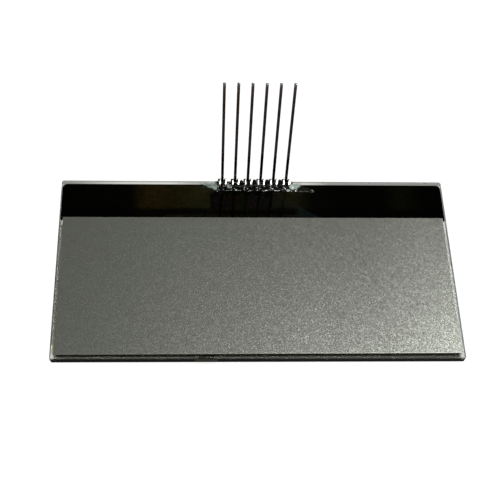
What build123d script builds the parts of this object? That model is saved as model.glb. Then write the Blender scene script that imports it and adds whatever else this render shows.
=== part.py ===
"""Liquid crystal display panel of two glass plates, with a bare ledge, a bonded driver chip and clip pins.

The panel lies face down. Millimetres, +X along the pin row, +Y towards the pins, +Z up.
The origin is the centre of the viewing face, which is the lowest face.
"""

import os

from build123d import *

# Glass plates
GLASS_WIDTH = 75.5
REAR_GLASS_DEPTH = 40.4
LEDGE_DEPTH = 9.4
GLASS_THICKNESS = 0.7
GLASS_EDGE_BREAK = 0.06
GLASS_CORNER_BREAK = 0.45

# The cell between the plates
CELL_GAP = 0.01
SEAL_INSET = 0.25
SEAL_WIDTH = 1.0
SEAL_CORNER_RADIUS = 0.8
FILL_PORT_X = -9.6
FILL_PORT_WIDTH = 3.0
END_SEAL_WIDTH = 4.2
END_SEAL_BULGE = 0.22
END_SEAL_HEIGHT = 1.1

# Polarising films
POLARISER_THICKNESS = 0.2
POLARISER_SIDE_MARGIN = 0.7
POLARISER_FRONT_MARGIN = 0.75
FRONT_POLARISER_BACK_MARGIN = 0.7
REAR_POLARISER_LAP = 0.3
POLARISER_CORNER_RADIUS = 0.3
POLARISER_EDGE_BREAK = 0.04

# Driver chip, its bond film and the conductor strips
CHIP_X = -2.38
CHIP_SETBACK = 2.42
CHIP_LENGTH = 12.6
CHIP_WIDTH = 4.0
CHIP_THICKNESS = 0.4
BOND_THICKNESS = 0.02
BOND_MARGIN = 0.1
BOND_FRONT_MARGIN = 0.6
TRACK_THICKNESS = 0.01
TRACK_LAP = 0.3
PAD_WIDTH = 1.7
PAD_DEPTH = 1.2
PAD_EDGE_MARGIN = 0.3
INPUT_PITCH = 2.1
INPUT_WIDTH = 1.6
FRONT_OUTPUT_COUNT = 28
FRONT_OUTPUT_PITCH = 0.42
SIDE_OUTPUT_COUNT = 14
SIDE_OUTPUT_PITCH = 0.23
OUTPUT_CHIP_WIDTH = 0.14
OUTPUT_CELL_PITCH = 0.58
OUTPUT_CELL_WIDTH = 0.32
OUTPUT_STRAIGHT = 0.4

# Black resin coat on the hidden side of the ledge
SHIELD_THICKNESS = 0.12
SHIELD_SIDE_MARGIN = 0.15
SHIELD_BACK_MARGIN = 0.6
SHIELD_CORNER_RADIUS = 1.0
CHIP_COVER = 0.16
CHIP_COVER_MARGIN = 0.8

# Clip pins
PIN_COUNT = 6
PIN_PITCH = 2.54
PIN_ROW_X = 0.26
PIN_STOCK = 0.25
PIN_EDGE_CLEARANCE = 0.05
PIN_BEND_RADIUS = 0.125
LEG_WIDTH = 0.55
LEG_HEIGHT = 28.48
LEG_LEAN = -0.57
LEG_FAN = 0.07
LEG_TIP_BREAK = 0.08
HEAD_WIDTH = 1.74
WEB_DROP = 0.55
WEB_CORNER = 0.3
TONGUE_SLIT = 0.07
TONGUE_REACH = 1.5
TONGUE_TIP_WIDTH = 0.3
TONGUE_CREST = 0.75
TONGUE_FOOT = 0.25
TONGUE_TIP_LENGTH = 0.25
TONGUE_TIP_RISE = 0.08
JAW_WIDTH = 0.6
JAW_REACH = 1.6
JAW_TIP_LENGTH = 0.3
JAW_TIP_DROP = 0.15
PASTE_THICKNESS = 0.03
PASTE_WIDTH = 0.9
PASTE_DEPTH = 1.1
PASTE_EDGE_MARGIN = 0.2

# Resin round the pins
FRONT_GLUE_THICKNESS = 0.55
FRONT_GLUE_DEPTH = 2.4
GLUE_END_MARGIN = 1.4
FRONT_GLUE_ROUNDING = 0.2
REAR_GLUE_DEPTH = 2.5
REAR_GLUE_HEIGHT = 0.2
REAR_GLUE_SLOPE = 0.12
REAR_GLUE_LEFT_TAIL = 2.9
REAR_GLUE_LEFT_TAIL_SETBACK = 0.9
REAR_GLUE_RIGHT_TAIL = 4.0
REAR_GLUE_RIGHT_TAIL_SETBACK = 2.8
PIN_MOUND_HEIGHT = 0.35
PIN_MOUND_RADIUS = 0.9
PIN_MOUND_SETBACK = 1.6

# Levels, from the viewing face upwards
FRONT_GLASS_Z = POLARISER_THICKNESS
CELL_Z = FRONT_GLASS_Z + GLASS_THICKNESS
REAR_GLASS_Z = CELL_Z + CELL_GAP
REAR_FACE_Z = REAR_GLASS_Z + GLASS_THICKNESS
TRACK_Z = REAR_GLASS_Z - TRACK_THICKNESS

# Places along the depth, with the origin at the middle of the viewing film
FRONT_GLASS_DEPTH = REAR_GLASS_DEPTH - LEDGE_DEPTH
VIEW_DEPTH = FRONT_GLASS_DEPTH - POLARISER_FRONT_MARGIN - FRONT_POLARISER_BACK_MARGIN
FRONT_Y = -VIEW_DEPTH / 2 - POLARISER_FRONT_MARGIN
CELL_BACK_Y = FRONT_Y + FRONT_GLASS_DEPTH
BACK_Y = FRONT_Y + REAR_GLASS_DEPTH
CHIP_FRONT_Y = CELL_BACK_Y + CHIP_SETBACK
CHIP_BACK_Y = CHIP_FRONT_Y + CHIP_WIDTH
WEB_Y = BACK_Y + PIN_EDGE_CLEARANCE + PIN_STOCK / 2

PIN_XS = [PIN_ROW_X + (i - (PIN_COUNT - 1) / 2) * PIN_PITCH for i in range(PIN_COUNT)]


def block(x_low, x_high, y_low, y_high, z_low, z_high):
    """Box between two corners."""
    size = Box(x_high - x_low, y_high - y_low, z_high - z_low)
    return Pos((x_low + x_high) / 2, (y_low + y_high) / 2, (z_low + z_high) / 2) * size


def prism(points, z_low, height):
    """Upright prism on a closed outline."""
    outline = make_face(Polyline(*points, close=True))
    return extrude(Pos(0, 0, z_low) * outline, height)


def side_strip(points, radii, width):
    """Strip of pin stock that follows a bent line in the YZ plane, centred on x = 0."""
    line = FilletPolyline(*points, radius=radii)
    section = Plane.YZ * trace(line, PIN_STOCK)
    return extrude(section, width / 2, both=True)


def glass_plate(depth, z_low):
    """Cut glass plate with clipped corners and lightly broken edges."""
    half = GLASS_WIDTH / 2
    plate = block(-half, half, FRONT_Y, FRONT_Y + depth, z_low, z_low + GLASS_THICKNESS)
    plate = chamfer(plate.edges().filter_by(Axis.Z), GLASS_CORNER_BREAK)
    faces = plate.faces().sort_by(Axis.Z)
    return chamfer(faces[0].edges() + faces[-1].edges(), GLASS_EDGE_BREAK)


def film(y_low, y_high, z_low, outer_face):
    """Polarising film with rounded corners and a broken edge on its outer side."""
    half = GLASS_WIDTH / 2 - POLARISER_SIDE_MARGIN
    sheet = block(-half, half, y_low, y_high, z_low, z_low + POLARISER_THICKNESS)
    sheet = fillet(sheet.edges().filter_by(Axis.Z), POLARISER_CORNER_RADIUS)
    rim = sheet.faces().sort_by(Axis.Z)[outer_face].edges()
    return chamfer(rim, POLARISER_EDGE_BREAK)


def cell_outline(inset, corner_radius):
    """Rounded rectangle inside the front glass's edges."""
    width = GLASS_WIDTH - 2 * inset
    depth = FRONT_GLASS_DEPTH - 2 * inset
    middle = FRONT_Y + FRONT_GLASS_DEPTH / 2
    return Pos(0, middle, CELL_Z) * RectangleRounded(width, depth, corner_radius)


def fill_port():
    """Opening through the seal's front side, where the cell is filled."""
    half = FILL_PORT_WIDTH / 2
    inner_y = FRONT_Y + SEAL_INSET + SEAL_WIDTH
    return block(FILL_PORT_X - half, FILL_PORT_X + half, FRONT_Y, inner_y, CELL_Z, REAR_GLASS_Z)


def seal_frame():
    """Resin frame between the plates, open at the fill port."""
    outer = extrude(cell_outline(SEAL_INSET, SEAL_CORNER_RADIUS + SEAL_WIDTH), CELL_GAP)
    inner = extrude(cell_outline(SEAL_INSET + SEAL_WIDTH, SEAL_CORNER_RADIUS), CELL_GAP)
    return outer - inner - fill_port()


def liquid_crystal():
    """Layer that fills the cell inside the seal."""
    return extrude(cell_outline(SEAL_INSET + SEAL_WIDTH, SEAL_CORNER_RADIUS), CELL_GAP)


def cap_radius(half_width, height):
    """Radius of a circle or ball from the half width and height of a cap on it."""
    return (half_width**2 + height**2) / (2 * height)


def end_seal():
    """Resin plug in the fill port, with a bead on the front edges of both plates."""
    long_radius = cap_radius(END_SEAL_WIDTH / 2, END_SEAL_BULGE)
    short_radius = cap_radius(END_SEAL_HEIGHT / 2, END_SEAL_BULGE)
    upright = Pos(0, long_radius - END_SEAL_BULGE, 0) * Cylinder(long_radius, END_SEAL_HEIGHT)
    level = Rot(0, 90, 0) * Cylinder(short_radius, END_SEAL_WIDTH)
    level = Pos(0, short_radius - END_SEAL_BULGE, 0) * level
    half = END_SEAL_WIDTH / 2
    room = block(-half, half, -END_SEAL_BULGE, 0, -END_SEAL_HEIGHT / 2, END_SEAL_HEIGHT / 2)
    bead = Pos(FILL_PORT_X, FRONT_Y, (CELL_Z + REAR_GLASS_Z) / 2) * (upright & level & room)
    return bead + fill_port()


def chip_box(margin, z_low, z_high):
    """Block round the chip's outline with an even margin."""
    half = CHIP_LENGTH / 2 + margin
    return block(CHIP_X - half, CHIP_X + half, CHIP_FRONT_Y - margin, CHIP_BACK_Y + margin, z_low, z_high)


def bond_film():
    """Conductive film between the tracks and the chip, wider along the chip's front edge."""
    low = TRACK_Z - BOND_THICKNESS
    half_x = CHIP_LENGTH / 2 + BOND_MARGIN
    front_y = CHIP_FRONT_Y - BOND_FRONT_MARGIN
    return block(CHIP_X - half_x, CHIP_X + half_x, front_y, CHIP_BACK_Y + BOND_MARGIN, low, TRACK_Z)


def driver_chip():
    """Bare silicon chip, bonded face up to the ledge."""
    top = TRACK_Z - BOND_THICKNESS
    return chip_box(0, top - CHIP_THICKNESS, top)


def input_track(index):
    """Wide strip from one pin's pad, across a fan, to the chip's back edge."""
    pad_x = PIN_XS[index]
    chip_x = CHIP_X + (index - (PIN_COUNT - 1) / 2) * INPUT_PITCH
    pad = PAD_WIDTH / 2
    run = INPUT_WIDTH / 2
    pad_back = BACK_Y - PAD_EDGE_MARGIN
    fan_back = pad_back - PAD_DEPTH
    fan_front = CHIP_BACK_Y + TRACK_LAP
    chip_end = CHIP_BACK_Y - TRACK_LAP
    right = [(pad_x + pad, pad_back), (pad_x + pad, fan_back), (chip_x + run, fan_front), (chip_x + run, chip_end)]
    left = [(chip_x - run, chip_end), (chip_x - run, fan_front), (pad_x - pad, fan_back), (pad_x - pad, pad_back)]
    return prism(right + left, TRACK_Z, TRACK_THICKNESS)


def front_output_track(index):
    """Narrow strip from the chip's front edge that spreads to the cell's seal."""
    step = index - (FRONT_OUTPUT_COUNT - 1) / 2
    chip_x = CHIP_X + step * FRONT_OUTPUT_PITCH
    cell_x = CHIP_X + step * OUTPUT_CELL_PITCH
    near = OUTPUT_CHIP_WIDTH / 2
    far = OUTPUT_CELL_WIDTH / 2
    chip_end = CHIP_FRONT_Y + TRACK_LAP
    cell_end = CELL_BACK_Y - SEAL_INSET
    outline = [(chip_x + near, chip_end), (cell_x + far, cell_end), (cell_x - far, cell_end), (chip_x - near, chip_end)]
    return prism(outline, TRACK_Z, TRACK_THICKNESS)


def side_output_track(index, side):
    """Narrow strip from a short end of the chip that fans out and down to the cell's seal."""
    edge = CHIP_LENGTH / 2
    start_y = CHIP_FRONT_Y + TRACK_LAP + (index + 1) * SIDE_OUTPUT_PITCH
    cell_x = (FRONT_OUTPUT_COUNT / 2 + index + 0.5) * OUTPUT_CELL_PITCH
    near = OUTPUT_CHIP_WIDTH / 2
    far = OUTPUT_CELL_WIDTH / 2
    fan_front = CELL_BACK_Y + OUTPUT_STRAIGHT
    cell_end = CELL_BACK_Y - SEAL_INSET
    upper = [(edge - TRACK_LAP, start_y + near), (edge + OUTPUT_STRAIGHT, start_y + near), (cell_x + far, fan_front)]
    lower = [(cell_x - far, fan_front), (edge + OUTPUT_STRAIGHT, start_y - near), (edge - TRACK_LAP, start_y - near)]
    outline = upper + [(cell_x + far, cell_end), (cell_x - far, cell_end)] + lower
    return prism([(CHIP_X + side * x, y) for x, y in outline], TRACK_Z, TRACK_THICKNESS)


def output_tracks():
    """All strips from the chip to the cell."""
    tracks = [front_output_track(i) for i in range(FRONT_OUTPUT_COUNT)]
    for side in (-1, 1):
        tracks += [side_output_track(i, side) for i in range(SIDE_OUTPUT_COUNT)]
    return Compound(tracks)


def front_glue_block(z_low, z_high):
    """Space under the ledge that the resin round the jaws takes."""
    x_low = PIN_XS[0] - GLUE_END_MARGIN
    x_high = PIN_XS[-1] + GLUE_END_MARGIN
    return block(x_low, x_high, BACK_Y - FRONT_GLUE_DEPTH, BACK_Y, z_low, z_high)


def light_shield():
    """Black resin coat over the tracks, with a raised cover over the chip and a notch for the pins."""
    half = GLASS_WIDTH / 2 - SHIELD_SIDE_MARGIN
    coat_z = TRACK_Z - SHIELD_THICKNESS
    coat = block(-half, half, CELL_BACK_Y, BACK_Y - SHIELD_BACK_MARGIN, coat_z, TRACK_Z)
    back_corners = coat.edges().filter_by(Axis.Z).group_by(Axis.Y)[-1]
    coat = fillet(back_corners, SHIELD_CORNER_RADIUS)
    cover_z = TRACK_Z - BOND_THICKNESS - CHIP_THICKNESS - CHIP_COVER
    cover = chip_box(CHIP_COVER_MARGIN, cover_z, TRACK_Z)
    cover = fillet(cover.edges().filter_by(Axis.Z), CHIP_COVER_MARGIN)
    cover = fillet(cover.faces().sort_by(Axis.Z)[0].edges(), CHIP_COVER)
    return coat + cover - front_glue_block(0, TRACK_Z) - bond_film() - driver_chip()


def tongue_pair():
    """Two sprung tongues that rise from the web, bend over the glass edge and press on its rear face."""
    crest_z = REAR_FACE_Z + TONGUE_CREST - PIN_STOCK / 2
    foot_z = REAR_FACE_Z + PIN_STOCK / 2
    tip_y = BACK_Y - TONGUE_REACH
    foot_front = tip_y + TONGUE_TIP_LENGTH
    foot_back = foot_front + TONGUE_FOOT
    line = [
        (WEB_Y, REAR_FACE_Z - WEB_DROP / 2),
        (WEB_Y, crest_z),
        (foot_back, foot_z),
        (foot_front, foot_z),
        (tip_y, foot_z + TONGUE_TIP_RISE),
    ]
    bend = PIN_BEND_RADIUS + PIN_STOCK / 2
    strip = side_strip(line, (bend, 2 * bend, 2 * bend), HEAD_WIDTH)
    inner = LEG_WIDTH / 2 + TONGUE_SLIT
    outer = HEAD_WIDTH / 2
    root_y = WEB_Y + PIN_STOCK / 2
    outline = [
        (inner, root_y),
        (outer, root_y),
        (outer, BACK_Y - PIN_STOCK),
        (inner + TONGUE_TIP_WIDTH, tip_y - PIN_STOCK),
        (inner, tip_y - PIN_STOCK),
    ]
    right = strip & prism(outline, REAR_GLASS_Z, GLASS_THICKNESS + TONGUE_CREST)
    return right + mirror(right, about=Plane.YZ)


def jaw():
    """Contact jaw that bends under the glass edge and presses on the pad through the paste."""
    jaw_z = TRACK_Z - PASTE_THICKNESS - PIN_STOCK / 2
    tip_y = BACK_Y - JAW_REACH
    line = [
        (WEB_Y, REAR_FACE_Z),
        (WEB_Y, jaw_z),
        (tip_y + JAW_TIP_LENGTH, jaw_z),
        (tip_y, jaw_z - JAW_TIP_DROP),
    ]
    bend = PIN_BEND_RADIUS + PIN_STOCK / 2
    return side_strip(line, (bend, bend), JAW_WIDTH)


def web():
    """Flat plate behind the glass edge, which joins the tongues, the leg and the jaw."""
    half = HEAD_WIDTH / 2
    low = REAR_FACE_Z - WEB_DROP
    outline = [
        (-half, REAR_FACE_Z),
        (half, REAR_FACE_Z),
        (half, low + WEB_CORNER),
        (half - WEB_CORNER, low),
        (WEB_CORNER - half, low),
        (-half, low + WEB_CORNER),
    ]
    face = Plane.XZ * make_face(Polyline(*outline, close=True))
    return Pos(0, WEB_Y, 0) * extrude(face, PIN_STOCK / 2, both=True)


def leg(lean):
    """Straight leg that stands up from the web and leans a little to one side, by an angle in degrees."""
    half = LEG_WIDTH / 2
    stock = PIN_STOCK / 2
    bar = block(-half, half, -stock, stock, 0, LEG_HEIGHT)
    tip = bar.faces().sort_by(Axis.Z)[-1].edges().filter_by(Axis.Y)
    bar = chamfer(tip, LEG_TIP_BREAK)
    return Pos(0, WEB_Y, REAR_FACE_Z) * Rot(0, lean, 0) * bar


def clip_pin(index):
    """One stamped pin in its place, with its own small lean."""
    lean = LEG_LEAN + (index - (PIN_COUNT - 1) / 2) * LEG_FAN
    return Pos(PIN_XS[index], 0, 0) * (web() + tongue_pair() + jaw() + leg(lean))


def contact_paste(index):
    """Pat of conductive paste between a jaw and its pad."""
    middle = BACK_Y - PASTE_EDGE_MARGIN - PASTE_DEPTH / 2
    outline = RectangleRounded(PASTE_WIDTH, PASTE_DEPTH, PASTE_WIDTH / 3)
    return extrude(Pos(PIN_XS[index], middle, TRACK_Z - PASTE_THICKNESS) * outline, PASTE_THICKNESS)


def pin_glue_front(pins, pastes):
    """Black resin over the jaws, level with the tracks and rounded below."""
    bead = front_glue_block(TRACK_Z - FRONT_GLUE_THICKNESS, TRACK_Z)
    bead = fillet(bead.faces().sort_by(Axis.Z)[0].edges(), FRONT_GLUE_ROUNDING)
    for piece in pins + pastes:
        bead = bead - piece
    return bead


def rear_glue_outline():
    """Outline of the clear bead, from its left tail along the front to its right tail and back."""
    x_low = PIN_XS[0] - GLUE_END_MARGIN
    x_high = PIN_XS[-1] + GLUE_END_MARGIN
    left = REAR_GLUE_LEFT_TAIL
    right = REAR_GLUE_RIGHT_TAIL
    setback = REAR_GLUE_LEFT_TAIL_SETBACK
    tail = REAR_GLUE_RIGHT_TAIL_SETBACK
    points = [
        (x_low, 0),
        (x_low - left * 0.75, setback * 0.25),
        (x_low - left, setback),
        (x_low - left * 0.7, setback * 1.7),
        (x_low, REAR_GLUE_DEPTH),
        (x_high, REAR_GLUE_DEPTH),
        (x_high + right * 0.85, tail + REAR_GLUE_SLOPE),
        (x_high + right, tail),
        (x_high + right * 0.85, tail * 0.75),
        (x_high + right * 0.35, tail * 0.4),
        (x_high, 0),
    ]
    return [(x, BACK_Y - y) for x, y in points]


def pin_glue_rear(pins):
    """Clear resin bead over the tongues, with a low mound before each pin and a thin tail at each end."""
    bead = prism(rear_glue_outline(), REAR_FACE_Z, REAR_GLUE_HEIGHT)
    bead = chamfer(bead.faces().sort_by(Axis.Z)[-1].edges(), REAR_GLUE_SLOPE)
    ball_radius = cap_radius(PIN_MOUND_RADIUS, PIN_MOUND_HEIGHT)
    ball_z = REAR_FACE_Z + PIN_MOUND_HEIGHT - ball_radius
    front = BACK_Y - REAR_GLUE_DEPTH
    for x in PIN_XS:
        ball = Pos(x, BACK_Y - PIN_MOUND_SETBACK, ball_z) * Sphere(ball_radius)
        low, high = x - PIN_MOUND_RADIUS, x + PIN_MOUND_RADIUS
        bead = bead + (ball & block(low, high, front, BACK_Y, REAR_FACE_Z, REAR_FACE_Z + PIN_MOUND_HEIGHT))
    for pin in pins:
        bead = bead - pin
    return bead


def write(shape, node):
    """Write one node's file."""
    export_step(shape, f"parts/{node}.step")


os.makedirs("parts", exist_ok=True)

write(film(-VIEW_DEPTH / 2, VIEW_DEPTH / 2, 0, 0), "front_polariser")
write(glass_plate(FRONT_GLASS_DEPTH, FRONT_GLASS_Z), "front_glass")
write(seal_frame(), "seal_frame")
write(liquid_crystal(), "liquid_crystal")
write(end_seal(), "end_seal")
write(glass_plate(REAR_GLASS_DEPTH, REAR_GLASS_Z), "rear_glass")
write(film(-VIEW_DEPTH / 2, CELL_BACK_Y + REAR_POLARISER_LAP, REAR_FACE_Z, -1), "rear_polariser")

write(Compound([input_track(i) for i in range(PIN_COUNT)]), "input_tracks")
write(output_tracks(), "output_tracks")
write(bond_film(), "chip_bond_film")
write(driver_chip(), "driver_chip")
write(light_shield(), "light_shield")

pins = [clip_pin(i) for i in range(PIN_COUNT)]
pastes = [contact_paste(i) for i in range(PIN_COUNT)]
for number, (pin, paste) in enumerate(zip(pins, pastes), start=1):
    write(pin, f"pin_{number}")
    write(paste, f"contact_paste_{number}")
write(pin_glue_front(pins, pastes), "pin_glue_front")
write(pin_glue_rear(pins), "pin_glue_rear")
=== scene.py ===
# %% [markdown]
# # A bare display panel, lying on its face
# The panel is two glass plates with a film on each side. A ledge of bare glass behind the film carries the
# driver chip on its hidden side, and six sprung pins clip over the ledge's edge. This lesson dresses the
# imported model: it keeps the hard pieces that already have the right shape, models the others by hand, and
# gives every piece a material made of nodes.

import math

import bpy
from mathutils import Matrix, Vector


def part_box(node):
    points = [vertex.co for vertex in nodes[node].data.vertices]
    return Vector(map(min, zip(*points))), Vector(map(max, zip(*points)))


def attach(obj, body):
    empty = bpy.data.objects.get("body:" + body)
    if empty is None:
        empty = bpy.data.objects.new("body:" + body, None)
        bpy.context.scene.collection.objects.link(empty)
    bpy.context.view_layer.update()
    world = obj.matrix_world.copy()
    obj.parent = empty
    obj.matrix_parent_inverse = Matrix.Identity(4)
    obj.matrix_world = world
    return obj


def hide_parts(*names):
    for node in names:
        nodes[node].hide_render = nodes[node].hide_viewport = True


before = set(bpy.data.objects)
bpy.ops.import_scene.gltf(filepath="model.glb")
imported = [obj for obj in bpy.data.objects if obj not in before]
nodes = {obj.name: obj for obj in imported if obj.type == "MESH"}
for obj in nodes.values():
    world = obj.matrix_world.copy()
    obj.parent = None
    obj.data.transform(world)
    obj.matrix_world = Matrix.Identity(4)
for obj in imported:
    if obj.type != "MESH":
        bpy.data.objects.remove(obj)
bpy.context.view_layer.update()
print("nodes loaded:", len(nodes))

# %% [markdown]
# Blender works in metres, and this panel is small, so lengths are written in millimetres and multiplied by
# MM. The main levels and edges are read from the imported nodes, because then every piece follows the model.
# The half width and the front and back edge of the glass are also kept in millimetres, for the places of
# colours.

# %% Levels and edges of the model
MM = 0.001
HAIR = 0.003 * MM
PINS = range(1, 7)
rear_low, rear_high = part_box("rear_glass")
front_low, front_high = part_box("front_glass")
film_low, film_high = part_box("rear_polariser")
view_low, view_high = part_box("front_polariser")
chip_low, chip_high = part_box("driver_chip")
pin_low, pin_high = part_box("pin_1")
pads = [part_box(f"contact_paste_{i}") for i in PINS]
pin_xs = [0.5 * (low.x + high.x) for low, high in pads]
back_y, rear_z = rear_high.y, rear_high.z
half_width, front_edge, back_edge = rear_high.x / MM, rear_low.y / MM, back_y / MM
print("glass", [round(v / MM, 2) for v in rear_high - rear_low], "mm")
print("pins at", [round(x / MM, 2) for x in pin_xs], "mm")

# %% [markdown]
# The photograph was measured first: a camera was fitted to the glass edges, the film's edges and the pins,
# and it gave this place, turn and lens. A camera could also be moved by eye, but then small errors in its
# height look like errors in the shape of the panel.

# %% Camera at the photograph's view
CAMERA_PLACE = (-0.01367561, -0.12299041, 0.19229649)
CAMERA_TURN = (0.60328, -0.04616, -0.02905)
LENS = 87.186
SENSOR = 36

bpy.ops.object.select_all(action="DESELECT")
bpy.ops.object.camera_add(location=CAMERA_PLACE, rotation=CAMERA_TURN)
camera = bpy.context.object
camera.data.sensor_width = SENSOR
camera.data.lens = LENS
camera.data.clip_start = 5 * MM
camera.data.dof.use_dof = False
bpy.context.scene.camera = camera
bpy.context.scene.view_settings.view_transform = "Standard"
print("camera", round(camera.location.length, 3), "m away")

# %% [markdown]
# The panel is mostly mirrors: clear glass, shiny film and tin. What they show depends on where the light is,
# so the room is dark above and behind, one large soft lamp hangs overhead to the right, and a weaker one is
# on the left. A world full of light would be easier, but it would veil the black ledge with grey.

# %% Lamps
def soft_lamp(name, place, size, power):
    """Add a square area lamp at a place, turned to the panel."""
    bpy.ops.object.light_add(type="AREA", location=place)
    lamp = bpy.context.object
    lamp.name = name
    lamp.data.size = size
    lamp.data.energy = power
    lamp.rotation_euler = (-Vector(place)).to_track_quat("-Z", "Y").to_euler()
    return lamp


key = soft_lamp("key_lamp", (0.209, 0.115, 0.551), size=0.25, power=3.1)
fill = soft_lamp("fill_lamp", (-0.45, -0.25, 0.45), size=0.40, power=2.0)
print("lamps", key.name, fill.name)

# %% [markdown]
# The world, the floor and every material are made of nodes. These short helpers add a node with its settings,
# link nodes, and set up a colour ramp, so that the cells below stay readable. A colour may be given as one
# number, which means a grey.

# %% Helpers for nodes
def rgba(colour):
    """Give a colour, or a number that stands for a grey, with a fourth value of one."""
    return (*colour, 1) if isinstance(colour, tuple) else (colour, colour, colour, 1)


def add_node(tree, kind, values=None, **settings):
    """Add a node, set its properties, and set its input sockets by name or number."""
    node = tree.nodes.new(kind)
    for name, value in settings.items():
        setattr(node, name, value)
    for socket, value in (values or {}).items():
        node.inputs[socket].default_value = value
    return node


def wire(tree, *links):
    """Link nodes. Each link names a node and its output, then a node and its input."""
    for source, output, target, socket in links:
        tree.links.new(source.outputs[output], target.inputs[socket])


def colour_ramp(tree, stops):
    """Add a colour ramp with a colour at each stop."""
    ramp = add_node(tree, "ShaderNodeValToRGB")
    while len(ramp.color_ramp.elements) < len(stops):
        ramp.color_ramp.elements.new(0.5)
    for element, (place, colour) in zip(ramp.color_ramp.elements, stops):
        element.position = place
        element.color = rgba(colour)
    return ramp


print("helpers for nodes ready")

# %% [markdown]
# The world is the rest of the room. The camera sees it as white, like the paper sweep of a product
# photograph. Reflections see a pale band near the horizon and darkness above, which keeps the glass black and
# the metal crisp.

# %% World
HORIZON, HORIZON_COLOUR = 0.10, 0.75
DARK_ABOVE, DARK_COLOUR = 0.45, (0.013, 0.013, 0.012)

world = bpy.data.worlds.new("studio")
bpy.context.scene.world = world
world.use_nodes = True
tree = world.node_tree
direction = add_node(tree, "ShaderNodeTexCoord")
split = add_node(tree, "ShaderNodeSeparateXYZ")
band = colour_ramp(tree, [(HORIZON, HORIZON_COLOUR), (DARK_ABOVE, DARK_COLOUR)])
paths = add_node(tree, "ShaderNodeLightPath")
white = add_node(tree, "ShaderNodeMix", {"B": rgba(1)}, data_type="RGBA")
wire(tree, (direction, "Generated", split, 0), (split, "Z", band, "Fac"), (band, "Color", white, "A"),
     (paths, "Is Camera Ray", white, "Factor"), (white, "Result", tree.nodes["Background"], "Color"))
print("world nodes", len(tree.nodes))

# %% [markdown]
# The floor is a plain white sheet. A strength of 1 is white, so its bare part is brought to just over 1 for
# the camera: a little of it is lit and takes the panel's soft shadow, and the rest is glow. More glow would
# bleed over the thin legs and eat them. Rays that come by way of glass or metal see the same sheet, but
# dimmer, because the real panel's polished edges are dark.

# %% Floor
FLOOR_WIDTH = 3
FLOOR_DROP = 0.02 * MM
LIT_SHARE = 0.16
BOUNCED_SHARE = 0.92
GLOW = (("Is Camera Ray", 0.90), ("Is Transmission Ray", 0.46), ("Is Glossy Ray", 0.10))

bpy.ops.object.select_all(action="DESELECT")
bpy.ops.mesh.primitive_plane_add(size=FLOOR_WIDTH, location=(0, 0, -FLOOR_DROP))
floor = bpy.context.object
floor.name = "floor"
paper = bpy.data.materials.new("white_paper")
paper.use_nodes = True
tree = paper.node_tree
tree.nodes.remove(tree.nodes["Principled BSDF"])
paths = add_node(tree, "ShaderNodeLightPath")
direct = add_node(tree, "ShaderNodeMath", {0: 1.0}, operation="SUBTRACT")
shade = add_node(tree, "ShaderNodeMix", {"A": rgba(BOUNCED_SHARE), "B": rgba(LIT_SHARE)}, data_type="RGBA")
diffuse = add_node(tree, "ShaderNodeBsdfDiffuse")
glow = add_node(tree, "ShaderNodeEmission")
strength = None
for ray, amount in GLOW:
    part = add_node(tree, "ShaderNodeMath", {1: amount, 2: 0}, operation="MULTIPLY_ADD")
    wire(tree, (paths, ray, part, 0))
    if strength:
        wire(tree, (strength, 0, part, 2))
    strength = part
lit_and_glowing = add_node(tree, "ShaderNodeAddShader")
wire(tree, (paths, "Is Diffuse Ray", direct, 1), (direct, 0, shade, "Factor"),
     (shade, "Result", diffuse, "Color"), (strength, 0, glow, "Strength"), (diffuse, 0, lit_and_glowing, 0),
     (glow, 0, lit_and_glowing, 1), (lit_and_glowing, 0, tree.nodes["Material Output"], "Surface"))
floor.data.materials.append(paper)
print("floor", floor.dimensions.x, "m wide")

# %% [markdown]
# Fine grain is on almost every surface here: the rolled texture of the film, the skin of the resins and the
# dull silk of tin plate. One node group makes it once. It mixes a fast noise with a slower one, and gives a
# colour between two shades and a height for a Bump node. The scale counts grains per millimetre.

# %% Node group for fine grain
SLOW_SHARE = 0.13
FLOAT, COLOUR, VECTOR = "NodeSocketFloat", "NodeSocketColor", "NodeSocketVector"
grain = bpy.data.node_groups.new("fine_grain", "ShaderNodeTree")
for socket, kind, value in (
        ("Per mm", FLOAT, 6.0), ("Stretch", VECTOR, (1, 1, 1)), ("Dark", COLOUR, rgba(0.1)),
        ("Light", COLOUR, rgba(0.2)), ("Low", FLOAT, 0.4), ("High", FLOAT, 0.5), ("Detail", FLOAT, 3.0),
        ("Mottle", FLOAT, 0.35)):
    grain.interface.new_socket(socket, in_out="INPUT", socket_type=kind).default_value = value
for socket, kind in (("Colour", COLOUR), ("Roughness", FLOAT), ("Height", FLOAT)):
    grain.interface.new_socket(socket, in_out="OUTPUT", socket_type=kind)
given = add_node(grain, "NodeGroupInput")
made = add_node(grain, "NodeGroupOutput")
where = add_node(grain, "ShaderNodeTexCoord")
stretched = add_node(grain, "ShaderNodeVectorMath", operation="MULTIPLY")
per_metre = add_node(grain, "ShaderNodeMath", {1: 1 / MM}, operation="MULTIPLY")
slow_scale = add_node(grain, "ShaderNodeMath", {1: SLOW_SHARE}, operation="MULTIPLY")
fast = add_node(grain, "ShaderNodeTexNoise", {"Roughness": 0.6})
slow = add_node(grain, "ShaderNodeTexNoise", {"Detail": 2.0, "Roughness": 0.5})
blend = add_node(grain, "ShaderNodeMix", data_type="FLOAT")
sharp = add_node(grain, "ShaderNodeMapRange", {"From Min": 0.32, "From Max": 0.68})
shade = add_node(grain, "ShaderNodeMix", data_type="RGBA")
rough = add_node(grain, "ShaderNodeMapRange", {"From Min": 0.3, "From Max": 0.7})
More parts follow.
